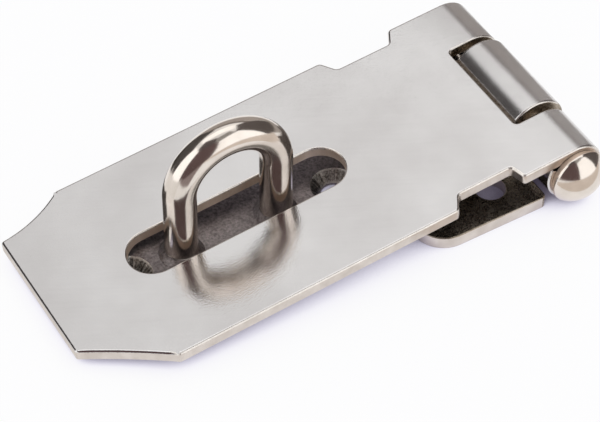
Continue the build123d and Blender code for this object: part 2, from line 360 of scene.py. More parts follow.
# %% Hasp leaf: round the upper edge, then the slot and the opening
LEAF_ROUND = 0.5
INNER_ROUND = 0.3


def on_skin(point):
    """True for a point on the top face or on the outside of a curl."""
    on_top = point.x < 0.01 and near(point.z, LEAF_SKIN)
    return on_top or near(math.hypot(point.x, point.z), LEAF_SKIN)


def in_opening(point):
    """True for a point on the rim of the slot or of the knuckle's opening."""
    in_slot = SLOT_FROM - 0.1 < point.x < SLOT_TO + 0.1 and abs(point.y) < SLOT_RADIUS + 0.01
    return in_slot or (point.x > -OPENING_REACH - 0.1 and abs(point.y) < OPENING_HALF + 0.01)


def outer_rim(a, b):
    """Edge along the outline or round the end of a curl, apart from the seam."""
    seam = abs(a.y - b.y) > 1 and a.x > -OPENING_REACH
    return on_skin(a) and on_skin(b) and not seam and not in_opening((a + b) / 2)


def inner_rim(a, b):
    """Edge round the slot or the opening."""
    return on_skin(a) and on_skin(b) and in_opening((a + b) / 2)


rims = round_rims(leaf, LEAF_ROUND, outer_rim)
rims += round_rims(leaf, INNER_ROUND, inner_rim, segments=3)
leaf.rotation_euler = (0, -lean, 0)
leaf.location = (axis_x, axis_y, axis_z)
only(leaf)
settle("rolled_leaf")
finish_mesh(leaf, "hasp_leaf")
print("rounded", rims, "edges of the leaf")

# %% [markdown]
# ## The hinge leaf
# Only its near side, one screw hole and the middle knuckle show, but the whole plate is
# made, because the part is turned over and opened. Its tongue is pulled out of the middle of
# the back edge and rolled upwards round the pin, so the spin goes the other way.

# %% Hinge leaf
PLATE_SHEET = 2.6
PLATE_HALF = 22.2
PLATE_FRONT, PLATE_BACK = -30.5, -5.5
FRONT_CORNER, BACK_CORNER = 6.0, 1.0
KNUCKLE_HALF = 9.7
KNUCKLE_RADIUS = axis_z / MM
HOLE_BACK, HOLE_SIDE, HOLE_RADIUS = -13.4, 15.1, 2.9
KNUCKLE_ROUND, PLATE_ROUND = 0.45, 0.3

hinge = block("screwed_leaf", (PLATE_FRONT, -PLATE_HALF, 0), (PLATE_BACK, PLATE_HALF, PLATE_SHEET))
for x, corner, segments in ((PLATE_FRONT, FRONT_CORNER, 12), (PLATE_BACK, BACK_CORNER, 6)):
    round_corners(hinge, corner, [(x, -PLATE_HALF), (x, PLATE_HALF)], segments)
for side in (-1, 1):
    cut(hinge, drum("hole_tool", HOLE_BACK, side * HOLE_SIDE, HOLE_RADIUS,
                    -TOOL_REACH, PLATE_SHEET + TOOL_REACH))
split_lengthways(hinge, KNUCKLE_HALF)
pull_lugs(hinge, PLATE_BACK, -PLATE_BACK, lambda middle: abs(middle.y) < KNUCKLE_HALF)
stop = math.asin((KNUCKLE_RADIUS - PLATE_SHEET - SEAM_GAP) / KNUCKLE_RADIUS)
roll(hinge, math.radians(270) + stop, KNUCKLE_RADIUS)


def knuckle_rim(a, b):
    """Edge round an end of the middle knuckle."""
    on_curl = all(near(math.hypot(p.x, p.z - KNUCKLE_RADIUS), KNUCKLE_RADIUS) for p in (a, b))
    return on_curl and near(a.y, b.y) and a.x + b.x > 2 * PLATE_BACK


def plate_rim(a, b):
    """Edge of the plate's top, ahead of the knuckle."""
    on_top = near(a.z, PLATE_SHEET) and near(b.z, PLATE_SHEET)
    return on_top and (a.x + b.x) / 2 < PLATE_BACK + 0.01


rims = round_rims(hinge, KNUCKLE_ROUND, knuckle_rim)
rims += round_rims(hinge, PLATE_ROUND, plate_rim, segments=3)
hinge.location = (axis_x, axis_y, 0)
only(hinge)
settle("screwed_leaf")
finish_mesh(hinge, "hinge_leaf")
print("rounded", rims, "edges of the hinge leaf")

# %% [markdown]
# ## Round pieces grown from a disc
# The pin and the staple are round bars. Each starts as a filled circle, and its end face is
# extruded and scaled ring by ring, as a turner works along a bar. For the staple's bow the
# same end face is spun through a half turn.

# %% Growing a bar from its end face
def disc(name, centre, radius, turned, corners=72):
    """Filled circle primitive, left open in edit mode as the first end of a bar."""
    bpy.ops.object.select_all(action="DESELECT")
    bpy.ops.mesh.primitive_circle_add(
        vertices=corners, radius=radius * MM, fill_type="NGON",
        location=Vector(centre) * MM, rotation=turned,
    )
    piece = settle(name)
    pick(piece, "FACE", lambda face: True)
    return piece


def grow(piece, direction, profile):
    """Extrude the selected end along a direction, through a profile of (distance, radius)."""
    for (here, radius), (there, next_radius) in zip(profile, profile[1:]):
        shift = {"value": Vector(direction) * (there - here) * MM}
        bpy.ops.mesh.extrude_region_move(TRANSFORM_OT_translate=shift)
        mesh = bmesh.from_edit_mesh(piece.data)
        centre = [face for face in mesh.faces if face.select][0].calc_center_bounds()
        scale = next_radius / radius
        bpy.ops.transform.resize(value=(scale, scale, scale), center_override=centre)


# %% Hinge pin: tail, shank, neck and domed head
TAIL_END, TAIL_BREAK = -23.3, 0.5
SEAT, NECK_END, NECK_RADIUS = 22.55, 23.6, 5.0
HEAD_RADIUS, HEAD_RIM, HEAD_RISE = 5.65, 24.0, 3.4
UNDER_BREAK, SHOULDER = 0.1, 1.3
SHOULDER_RINGS, CROWN_RINGS = 8, 16

crown = (HEAD_RADIUS ** 2 + HEAD_RISE ** 2) / (2 * HEAD_RISE)
crown_middle = HEAD_RIM + HEAD_RISE - crown
inset = HEAD_RADIUS - SHOULDER
shoulder_middle = crown_middle + math.sqrt((crown - SHOULDER) ** 2 - inset ** 2)
meet = math.atan2(shoulder_middle - crown_middle, inset)

profile = [
    (TAIL_END, PIN_RADIUS - TAIL_BREAK), (TAIL_END + TAIL_BREAK, PIN_RADIUS), (SEAT, PIN_RADIUS),
    (SEAT, NECK_RADIUS), (NECK_END, NECK_RADIUS), (NECK_END, HEAD_RADIUS - UNDER_BREAK),
]
for ring in range(SHOULDER_RINGS + 1):
    turn = meet * ring / SHOULDER_RINGS
    profile.append((shoulder_middle + SHOULDER * math.sin(turn), inset + SHOULDER * math.cos(turn)))
for ring in range(1, CROWN_RINGS):
    turn = meet + (math.pi / 2 - meet) * ring / CROWN_RINGS
    profile.append((crown_middle + crown * math.sin(turn), crown * math.cos(turn)))
pin = disc("domed_pin", (axis_x / MM, -TAIL_END, axis_z / MM), profile[0][1], (math.pi / 2, 0, 0))
grow(pin, (0, -1, 0), profile)
top = {"value": (0, -crown * (1 - math.sin(turn)) * MM, 0)}
bpy.ops.mesh.extrude_region_move(TRANSFORM_OT_translate=top)
bpy.ops.mesh.merge(type="CENTER")
done(pin)
finish_mesh(pin, "hinge_pin", width=0.05)

# %% [markdown]
# ## The staple
# One rod, bent to a half round, with its feet welded to the plate. Where the rod meets the
# plate the weld leaves a small hollow flare, which catches a ring of light in the
# photograph, so it is made as a row of rings that curve in from the plate to the rod.

# %% Staple: foot, leg, bow, leg, foot
ROD_RADIUS, FOOT_RADIUS = 3.05, 2.5
FLARE, FLARE_RISE, FLARE_RINGS = 1.2, 1.6, 8
FLARE_HOLLOW = 1.6  # power of its curve: 1 would be a quarter round
BOW_STEPS = 72
staple_low, staple_high = (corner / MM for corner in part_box("staple"))
plate_low, plate_high = (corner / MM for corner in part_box("staple_plate"))
plate_top = plate_high.z
staple_middle = (staple_high.x + staple_low.x) / 2
leg_offset = (staple_high.x - staple_low.x) / 2 - ROD_RADIUS - FLARE
bow_base = staple_high.z - ROD_RADIUS - leg_offset

foot = [(0, FOOT_RADIUS), (plate_top, FOOT_RADIUS), (plate_top, ROD_RADIUS + FLARE)]
for ring in range(1, FLARE_RINGS + 1):
    share = math.sin(math.pi / 2 * ring / FLARE_RINGS)
    foot.append((plate_top + FLARE_RISE * share, ROD_RADIUS + FLARE * (1 - share) ** FLARE_HOLLOW))
foot.append((bow_base, ROD_RADIUS))
staple = disc("bent_rod", (staple_middle - leg_offset, 0, 0), FOOT_RADIUS, (0, 0, 0))
grow(staple, (0, 0, 1), foot)
bow_centre = Vector((staple_middle, 0, bow_base)) * MM
bpy.ops.mesh.spin(steps=BOW_STEPS, angle=-math.pi, center=bow_centre, axis=(0, 1, 0))
grow(staple, (0, 0, 1), foot[::-1])
done(staple)
finish_mesh(staple, "staple", width=0.05)

# %% [markdown]
# ## The staple plate
# A small plate under the leaf, blasted dull, with a countersunk hole at each end. The sinks
# are cut with a cone, as a countersink bit does it.

# %% Staple plate
PLATE_CORNER = 5.0
SCREW_SPACING = 42.8
SCREW_RADIUS, SINK_RADIUS = 2.5, 4.5
SINK_MARGIN = 0.4
FOOT_GAP = 0.05
BASE_ROUND = 0.3
INNER_X, INNER_Y = 26.5, 6.0  # the holes' rims lie within this of the plate's middle
plate_middle = (plate_low.x + plate_high.x) / 2

base = block("sunk_plate", (plate_low.x, plate_low.y, 0), (plate_high.x, plate_high.y, plate_top))
BASE_CUT = (-TOOL_REACH, plate_top + TOOL_REACH)
base_corners = [(x, y) for x in (plate_low.x, plate_high.x) for y in (plate_low.y, plate_high.y)]
round_corners(base, PLATE_CORNER, base_corners, segments=12)
for side in (-1, 1):
    screw_x = plate_middle + side * SCREW_SPACING / 2
    cut(base, drum("screw_tool", screw_x, 0, SCREW_RADIUS, *BASE_CUT))
    sink_low = plate_top - (SINK_RADIUS - SCREW_RADIUS)
    cut(base, drum("sink_tool", screw_x, 0, SCREW_RADIUS, sink_low, plate_top + SINK_MARGIN,
                   top_radius=SINK_RADIUS + SINK_MARGIN))
    leg_x = staple_middle + side * leg_offset
    cut(base, drum("rod_tool", leg_x, 0, FOOT_RADIUS + FOOT_GAP, *BASE_CUT))


def base_rim(a, b):
    """Edge of the plate's outline, and not of a hole."""
    on_outline = [abs(p.y) > INNER_Y or abs(p.x - plate_middle) > INNER_X for p in (a, b)]
    return near(a.z, plate_top) and near(b.z, plate_top) and all(on_outline)


rims = round_rims(base, BASE_ROUND, base_rim, segments=3)
finish_mesh(base, "staple_plate")
print("rounded", rims, "edges of the staple plate")


# %% [markdown]
# ## Finishes
# All the metal is steel, but no two surfaces were finished alike, and that is what tells the
# pieces apart. Every pattern is a noise on object coordinates, in grains per millimetre, so
# that it has the right scale on every piece and stays in place when the leaf opens.

# %% Small helpers for node trees
def new_finish(name):
    """Empty material with a Principled shader for bare metal."""
    material = bpy.data.materials.new(name)
    material.use_nodes = True
    tree = material.node_tree
    tree.nodes.clear()
    shader = tree.nodes.new("ShaderNodeBsdfPrincipled")
    output = tree.nodes.new("ShaderNodeOutputMaterial")
    tree.links.new(shader.outputs["BSDF"], output.inputs["Surface"])
    shader.inputs["Metallic"].default_value = 1.0
    return material, tree, shader


def grain(tree, scale, detail=2.0, stretch=(1, 1, 1), turn=0.0, roughness=0.5):
    """Noise in grains per millimetre, drawn out along an axis that is turned in plan."""
    place = tree.nodes.new("ShaderNodeTexCoord")
    mapping = tree.nodes.new("ShaderNodeMapping")
    noise = tree.nodes.new("ShaderNodeTexNoise")
    mapping.vector_type = "TEXTURE"
    mapping.inputs["Scale"].default_value = [MM / share for share in stretch]
    mapping.inputs["Rotation"].default_value = (0, 0, turn)
    noise.inputs["Scale"].default_value = scale
    noise.inputs["Detail"].default_value = detail
    noise.inputs["Roughness"].default_value = roughness
    tree.links.new(place.outputs["Object"], mapping.inputs["Vector"])
    tree.links.new(mapping.outputs["Vector"], noise.inputs["Vector"])
    return noise.outputs["Fac"]


def spread(tree, value, low, high, start=0.35, end=0.65):
    """Map a noise value to a range of numbers."""
    node = tree.nodes.new("ShaderNodeMapRange")
    node.inputs["From Min"].default_value = start
    node.inputs["From Max"].default_value = end
    node.inputs["To Min"].default_value = low
    node.inputs["To Max"].default_value = high
    tree.links.new(value, node.inputs["Value"])
    return node.outputs["Result"]


def tint(tree, value, dark, light, start=0.35, end=0.65):
    """Map a noise value to a range of colours."""
    ramp = tree.nodes.new("ShaderNodeValToRGB")
    ramp.color_ramp.elements[0].position = start
    ramp.color_ramp.elements[0].color = (*dark, 1)
    ramp.color_ramp.elements[1].position = end
    ramp.color_ramp.elements[1].color = (*light, 1)
    tree.links.new(value, ramp.inputs["Fac"])
    return ramp.outputs["Color"]


def multiply(tree, first, second):
    """Product of two colours."""
    node = tree.nodes.new("ShaderNodeMix")
    node.data_type = "RGBA"
    node.blend_type = "MULTIPLY"
    node.inputs["Factor"].default_value = 1.0
    tree.links.new(first, node.inputs["A"])
    tree.links.new(second, node.inputs["B"])
    return node.outputs["Result"]


def bumps(tree, shader, layers):
    """Stack bump layers of (height value, depth in millimetres)."""
    normal = None
    for value, depth in layers:
        node = tree.nodes.new("ShaderNodeBump")
        node.inputs["Strength"].default_value = 1.0
        node.inputs["Distance"].default_value = depth * MM
        tree.links.new(value, node.inputs["Height"])
        if normal:
            tree.links.new(normal, node.inputs["Normal"])
        normal = node.outputs["Normal"]
    tree.links.new(normal, shader.inputs["Normal"])


# %% [markdown]
# ### Belt-polished sheet
# The leaf was polished on a belt while it was flat. That leaves fine lines along the belt's
# travel, a fine grit that breaks up what the metal mirrors, and vague clouds where the belt
# pressed more or less. Rolling the curls stretched the skin there and dulled it, so the
# roughness rises towards the hinge.

# %% Belt-polished sheet
BELT_TURN = math.radians(-30)
ROLL_FADE = 9.0


def on_the_roll(tree, flat_value, rolled_value):
    """Number that changes along X from the flat sheet to the part rolled round the pin."""
    place = tree.nodes.new("ShaderNodeTexCoord")
    split = tree.nodes.new("ShaderNodeSeparateXYZ")
    tree.links.new(place.outputs["Object"], split.inputs["Vector"])
    return spread(tree, split.outputs["X"], flat_value, rolled_value,
                  start=axis_x - ROLL_FADE * MM, end=axis_x)


def belt_polished():
    """Satin steel with fine lines, a fine grit and vague clouds, duller where it is rolled."""
    material, tree, shader = new_finish("belt_polished_steel")
    clouds = grain(tree, 0.05, detail=3)
    lines = grain(tree, 1.0, detail=3, stretch=(0.05, 3.0, 1.0), turn=BELT_TURN)
    grit = grain(tree, 3.8, detail=2)
    patches = tint(tree, clouds, (0.63, 0.608, 0.60), (0.72, 0.703, 0.695))
    streaks = tint(tree, lines, (0.985, 0.985, 0.985), (1.0, 1.0, 1.0))
    tree.links.new(multiply(tree, patches, streaks), shader.inputs["Base Color"])
    roughness = tree.nodes.new("ShaderNodeMath")
    tree.links.new(spread(tree, clouds, 0.07, 0.10), roughness.inputs[0])
    tree.links.new(on_the_roll(tree, 0.0, 0.15), roughness.inputs[1])
    tree.links.new(roughness.outputs["Value"], shader.inputs["Roughness"])
    bumps(tree, shader, [(grit, 0.016), (lines, 0.0007)])
    return material


satin = belt_polished()
print(satin.name, "has", len(satin.node_tree.nodes), "nodes")

# %% [markdown]
# ### Sheared edges
# A press cuts the sheet, and the cut is plainer, warmer and rougher than the polished top.
# The rounded rims get a brighter copy of it, which is a painted highlight. The slot's walls
# get a brighter, warmer and rougher copy, which is painted light.

# %% Sheared edges
def sheared_edge(name, dark, light, rough):
    """Cut face of the sheet, mottled and bitten across its thickness."""
    material, tree, shader = new_finish(name)
    clouds = grain(tree, 0.35, detail=4)
    bites = grain(tree, 1.6, detail=3, stretch=(1, 1, 0.25))
    tree.links.new(tint(tree, clouds, dark, light), shader.inputs["Base Color"])
    tree.links.new(spread(tree, bites, rough, rough + 0.12), shader.inputs["Roughness"])
    bumps(tree, shader, [(bites, 0.006)])
    return material


edge = sheared_edge("sheared_steel_edge", (0.60, 0.54, 0.49), (0.70, 0.64, 0.59), 0.28)
# Brighter copy of the sheared edge: a painted highlight on the rounded rims.
painted_highlight_rim = sheared_edge("painted_highlight_rim_edge", (0.72, 0.68, 0.63), (0.80, 0.76, 0.72), 0.24)
# Brighter, warmer and rougher copy of the sheared edge: painted light on the slot's walls.
wall = sheared_edge("painted_light_warm_wall", (0.80, 0.66, 0.54), (0.92, 0.78, 0.66), 0.5)
print("sheared edges:", edge.name, painted_highlight_rim.name, wall.name)

# %% [markdown]
# ### Buffed rod, blasted plate and a sheet with painted shade
# The rod and the pin are buffed until they mirror the room. The staple's plate is blasted
# with grit, which leaves a dull dark surface, darker in its pits: grain tone and painted shade.
# The hinge leaf, the knuckle's end faces and the walls round the knuckle get a dark brown with
# a few warm specks, which is painted shade.

# %% Buffed rod, blasted plate and a sheet with painted shade
def buffed():
    """Bright warm steel of the rod and the pin."""
    material, tree, shader = new_finish("buffed_bright_steel")
    clouds = grain(tree, 0.25, detail=3)
    marks = grain(tree, 2.5, detail=4)
    colour = tint(tree, clouds, (0.72, 0.655, 0.59), (0.80, 0.73, 0.665))
    tree.links.new(colour, shader.inputs["Base Color"])
    tree.links.new(spread(tree, marks, 0.12, 0.16), shader.inputs["Roughness"])
    bumps(tree, shader, [(clouds, 0.012), (marks, 0.0008)])
    return material


def blasted():
    """Dull dark steel with a coarse grain, darker in its pits: grain tone and painted shade."""
    material, tree, shader = new_finish("blasted_dull_steel")
    clouds = grain(tree, 0.2, detail=3)
    grit = grain(tree, 2.2, detail=3, roughness=0.6)
    patches = tint(tree, clouds, (0.25, 0.215, 0.213), (0.345, 0.305, 0.30))
    # Darker in the pits: partly the grain's own tone, partly painted shade.
    pits = tint(tree, grit, (0.45, 0.45, 0.45), (1.0, 1.0, 1.0))
    tree.links.new(multiply(tree, patches, pits), shader.inputs["Base Color"])
    tree.links.new(spread(tree, grit, 0.30, 0.45), shader.inputs["Roughness"])
    bumps(tree, shader, [(grit, 0.14)])
    return material


def painted_shade_dark():
    """Painted shade on the hinge leaf and in the knuckle's gap: dark brown, with a few warm specks.
    """
    material, tree, shader = new_finish("painted_shade_dark_steel")
    clouds = grain(tree, 0.3, detail=3)
    grit = grain(tree, 1.8, detail=4, roughness=0.7)
    # Dark brown tone that stands in for the shade under the hasp leaf.
    shade_tone = tint(tree, clouds, (0.33, 0.285, 0.23), (0.50, 0.445, 0.375))
    specks = tint(tree, grit, (0.6, 0.55, 0.5), (1.0, 1.0, 1.0))
    tree.links.new(multiply(tree, shade_tone, specks), shader.inputs["Base Color"])
    tree.links.new(spread(tree, grit, 0.22, 0.34), shader.inputs["Roughness"])
    bumps(tree, shader, [(grit, 0.03)])
    return material


bright, dull, painted_shade_steel = buffed(), blasted(), painted_shade_dark()
print("whole pieces:", bright.name, dull.name, painted_shade_steel.name)

# %% [markdown]
# ### Countersinks
# A countersink bit tears streaks down the slope. A ring at the slope's top and one round the
# hole are painted highlights. Such a pattern has to turn about the hole. Five steps of vector
# arithmetic give the way from the nearer hole's axis, of which ABSOLUTE folds the plate about
# its middle, so that one serves both holes. Its direction drives the streaks, and its length
# the rings of painted highlight.

# %% Countersinks
def from_nearer_screw(tree):
    """Vector in plan, in millimetres, from the axis of the nearer screw hole."""
    vector = tree.nodes.new("ShaderNodeTexCoord").outputs["Object"]
    for operation, by in (("SUBTRACT", (plate_middle * MM, 0, 0)), ("ABSOLUTE", (0, 0, 0)),
                          ("SUBTRACT", (SCREW_SPACING / 2 * MM, 0, 0)), ("DIVIDE", (MM, MM, MM)),
                          ("MULTIPLY", (1, 1, 0))):
        node = tree.nodes.new("ShaderNodeVectorMath")
        node.operation = operation
        node.inputs[1].default_value = by
        tree.links.new(vector, node.inputs[0])
        vector = node.outputs["Vector"]
    return vector


def vector_part(tree, vector, operation, output):
    """Direction or length of a vector."""
    node = tree.nodes.new("ShaderNodeVectorMath")
    node.operation = operation
    tree.links.new(vector, node.inputs[0])
    return node.outputs[output]


def painted_highlight_rings(tree, reach):
    """Share of painted highlight: 1 in a line round the hole and in one round the slope's top."""
    inner = spread(tree, reach, 1.0, 0.0, start=SCREW_RADIUS + 0.15, end=SCREW_RADIUS + 0.45)
    outer = spread(tree, reach, 0.0, 1.0, start=SINK_RADIUS - 0.35, end=SINK_RADIUS - 0.1)
    both = tree.nodes.new("ShaderNodeMath")
    tree.links.new(inner, both.inputs[0])
    tree.links.new(outer, both.inputs[1])
    return both.outputs["Value"]


def countersunk():
    """Slope left by the countersink bit: torn streaks down the slope between two painted highlight
    rings.
    """
    material, tree, shader = new_finish("countersunk_steel")
    vector = from_nearer_screw(tree)
    streaks = tree.nodes.new("ShaderNodeTexNoise")
    streaks.inputs["Scale"].default_value = 7.0
    streaks.inputs["Detail"].default_value = 3.0
    tree.links.new(vector_part(tree, vector, "NORMALIZE", "Vector"), streaks.inputs["Vector"])
    tears = grain(tree, 2.4, detail=4, roughness=0.7)
    slope = tint(tree, streaks.outputs["Fac"], (0.12, 0.11, 0.10), (0.82, 0.78, 0.74))
    torn = tint(tree, tears, (0.35, 0.34, 0.33), (1.0, 1.0, 1.0), start=0.40, end=0.62)
    rings = tree.nodes.new("ShaderNodeMix")
    rings.data_type = "RGBA"
    # Colour of the painted highlight in the two rings.
    rings.inputs["B"].default_value = (0.62, 0.59, 0.56, 1)
    reach = vector_part(tree, vector, "LENGTH", "Value")
    tree.links.new(painted_highlight_rings(tree, reach), rings.inputs["Factor"])
    tree.links.new(multiply(tree, slope, torn), rings.inputs["A"])
    tree.links.new(rings.outputs["Result"], shader.inputs["Base Color"])
    tree.links.new(spread(tree, tears, 0.22, 0.40), shader.inputs["Roughness"])
    bumps(tree, shader, [(tears, 0.10), (streaks.outputs["Fac"], 0.12)])
    return material


sunk = countersunk()
print(sunk.name, "has", len(sunk.node_tree.nodes), "nodes")

# %% [markdown]
# ### Which face gets which finish
# One piece can carry several finishes, because each face names a material slot. The faces are
# found as the edges were: by where they lie and which way they face. A normal's part along an
# axis is near 1 where the face is square to that axis, and in between on a rounding. Later
# tests win over earlier ones.

# %% Tests for the leaf's faces
SLANTED, SQUARE = 0.2, 0.97
FRONT_PART = -70.0      # the near rim carries the painted highlight from here to the hinge
CURL_FROM = axis_x - 1 * MM
SLOT_BAND = 6.0         # half the width within which a face belongs to the slot


def slants(part):
    """True for a part of a normal that only a rounding has."""
    return SLANTED < part < SQUARE


def is_cut(face):
    """Stands square to the sheet: the sides, and the ends ahead of the curls."""
    ahead = face.center.x < axis_x - 1.1 * KNUCKLE_RADIUS * MM
    return abs(face.normal.y) > SQUARE or (ahead and abs(face.normal.z) < 0.3)


def beside_staple(face):
    """In the slot's part of the leaf."""
    along = (face.center.x - axis_x) / MM
    return SLOT_FROM < along < SLOT_TO + 2 and abs(face.center.y) < SLOT_BAND * MM


def beside_knuckle(face):
    """At the opening that the middle knuckle fills."""
    return face.center.x > 0 and abs(face.center.y) < (OPENING_HALF + 0.5) * MM


def slot_wall(face):
    """Cut wall of the slot."""
    return is_cut(face) and beside_staple(face)


def opening_wall(face):
    """Cut wall of the knuckle's opening, with its rounded corners."""
    corner = face.center.x < axis_x - 4 * MM and abs(face.normal.z) < 0.3
    return beside_knuckle(face) and (corner or is_cut(face))


def highlight_rim_faces(face):
    """Rim with the painted highlight: round the slot and the opening, and along the near side."""
    slot_rim = beside_staple(face) and slants(face.normal.z)
    opening_rim = beside_knuckle(face) and slants(abs(face.normal.y))
    flat_part = FRONT_PART * MM < face.center.x < CURL_FROM and slants(face.normal.z)
    near_side = flat_part and face.center.y < (NOTCH_DEPTH + 0.8 - LEAF_HALF) * MM
    curl_rim = face.center.x > CURL_FROM and slants(-face.normal.y)
    return slot_rim or opening_rim or near_side or curl_rim


# %% Tests for the other pieces
def on_knuckle(face):
    """Rolled outside of the middle knuckle."""
    reach = math.hypot(face.center.x - axis_x, face.center.z - axis_z) / MM
    return near(reach, KNUCKLE_RADIUS, 0.1) and abs(face.normal.y) < SLANTED


def knuckle_end(face):
    """End face of the middle knuckle."""
    return face.center.x > axis_x - KNUCKLE_RADIUS * MM and abs(face.normal.y) > SQUARE


def knuckle_edge(face):
    """Rounded rim of the middle knuckle, where it stands above the leaf."""
    return face.center.z > 1.6 * axis_z and slants(abs(face.normal.y))


def under_head(face):
    """Neck and underside of the pin's head."""
    return -(NECK_END + 0.2) * MM < face.center.y < -SEAT * MM


def on_weld(face):
    """Weld at the foot of a leg."""
    return face.center.z < (plate_top + 0.8 * FLARE_RISE) * MM


def in_sink(face):
    """Slope of a countersunk hole."""
    along, aside = abs(face.center.x / MM - plate_middle), abs(face.center.y / MM)
    return 0.3 < face.normal.z < 0.95 and along < INNER_X and aside < INNER_Y


# %% Give each piece its finish
def dress(piece, finish, *others):
    """Put a finish on a piece, and further finishes on the faces that pass their tests."""
    piece.data.materials.clear()
    piece.data.materials.append(finish)
    for index, (other, test) in enumerate(others, start=1):
        piece.data.materials.append(other)
        chosen = [face for face in piece.data.polygons if test(face)]
        for face in chosen:
            face.material_index = index
        print(piece.name, "-", len(chosen), "faces in", other.name)


# On the leaf the rims carry the painted highlight, the slot's walls painted light and the knuckle's
# opening painted shade.
dress(leaf, satin, (edge, is_cut), (wall, slot_wall), (painted_shade_steel, opening_wall), (painted_highlight_rim, highlight_rim_faces))
# The hinge leaf and the knuckle's end faces carry painted shade, the knuckle's rims the painted
# highlight.
dress(hinge, painted_shade_steel, (edge, is_cut), (satin, on_knuckle), (painted_shade_steel, knuckle_end), (painted_highlight_rim, knuckle_edge))
# The neck under the pin's head gets that same warm copy, whose brightness is painted light.
dress(pin, bright, (wall, under_head))
dress(staple, bright, (dull, on_weld))
dress(base, dull, (sunk, in_sink))

# %% [markdown]
# ## Putting the pieces on the frame
# Each new piece stands for its CAD node and rides on the same body, so it opens and closes
# with the hinge.

# %% Ride and replace
for piece, node, body, slot_name in (
    (leaf, "hasp_leaf", "hasp", "brushed"),
    (pin, "hinge_pin", "hasp", "polished"),
    (hinge, "hinge_leaf", "mounting", "brushed"),
    (base, "staple_plate", "mounting", "blasted"),
    (staple, "staple", "mounting", "polished"),
):
    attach(piece, body)
    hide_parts(node)
    frame["nodes"][node].data.materials.clear()
    frame["nodes"][node].data.materials.append(piece.data.materials[0])

# %% [markdown]
# ## The studio
# Polished metal shows what stands round it, so half of its look is the room. The soft light
# comes from a pale world and one lamp. What the metal mirrors is a set of flats, windows,
# cards and panels that only glossy rays see, so they can be placed without lighting it.

# %% Surfaces that shine evenly
def glow(name, colour, strength=1.0):
    """Surface that shines evenly with a colour."""
    material = bpy.data.materials.new(name)
    material.use_nodes = True
    tree = material.node_tree
    tree.nodes.clear()
    shine = tree.nodes.new("ShaderNodeEmission")
    output = tree.nodes.new("ShaderNodeOutputMaterial")
    shine.inputs["Color"].default_value = (*colour, 1)
    shine.inputs["Strength"].default_value = strength
    tree.links.new(shine.outputs["Emission"], output.inputs["Surface"])
    return material


# %% [markdown]
# ### The table
# A lit table top would turn grey or clip with every change of light. This one shines in its
# own white, and an occlusion node tells how open each spot is. A colour ramp turns that into
# the soft lilac shadow round the object. A small diffuse share takes the lamp's shadow.

# %% The table
SHADE_REACH = 18.0
SHADES = (
    (0.12, (0.11, 0.095, 0.13)), (0.27, (0.56, 0.54, 0.65)), (0.36, (0.78, 0.76, 0.86)),
    (0.46, (0.94, 0.93, 0.985)), (0.6, (0.985, 0.98, 1.0)),
)
COVER_SHARE = 0.09
TABLE_RADIUS = 3.0
ROOM_MIDDLE = Vector((-0.03, 0.0, 0.0))


def table_top():
    """White table that takes the object's shadow and darkens where the object closes it in."""
    material = glow("white_table", (1, 1, 1))
    tree = material.node_tree
    openness = tree.nodes.new("ShaderNodeAmbientOcclusion")
    openness.samples = 24
    openness.inputs["Distance"].default_value = SHADE_REACH * MM
    shade = tree.nodes.new("ShaderNodeValToRGB")
    shade.color_ramp.elements[0].color = (0.02, 0.016, 0.03, 1)
    shade.color_ramp.elements[1].position = 0.8
    shade.color_ramp.elements[1].color = (1, 1, 1, 1)
    for position, colour in SHADES:
        shade.color_ramp.elements.new(position).color = (*colour, 1)
    cover = tree.nodes.new("ShaderNodeBsdfDiffuse")
    share = tree.nodes.new("ShaderNodeMixShader")
    cover.inputs["Color"].default_value = (0.94, 0.93, 0.97, 1)
    share.inputs["Fac"].default_value = COVER_SHARE
    tree.links.new(openness.outputs["AO"], shade.inputs["Fac"])
    tree.links.new(shade.outputs["Color"], tree.nodes["Emission"].inputs["Color"])
    tree.links.new(tree.nodes["Emission"].outputs["Emission"], share.inputs[1])
    tree.links.new(cover.outputs["BSDF"], share.inputs[2])
    tree.links.new(share.outputs["Shader"], tree.nodes["Material Output"].inputs["Surface"])
    return material


bpy.ops.object.select_all(action="DESELECT")
bpy.ops.mesh.primitive_circle_add(vertices=96, radius=TABLE_RADIUS, fill_type="NGON",
                                  location=ROOM_MIDDLE)
table = bpy.context.object
table.name = "table"
table.data.materials.append(table_top())
print("table of radius", TABLE_RADIUS, "m, shadow reach", SHADE_REACH, "mm")

# %% [markdown]
# ### The white room
# Camera and metal see a nearly white room, a little brighter towards the hinge, so that the
# leaf's top isn't one even grey. A second, even strength lights all the rest.

# %% The white room
SEEN, FILL = (0.86, 1.04), 0.85
SWEEP_FROM, SWEEP_TO = 0.08, 0.34


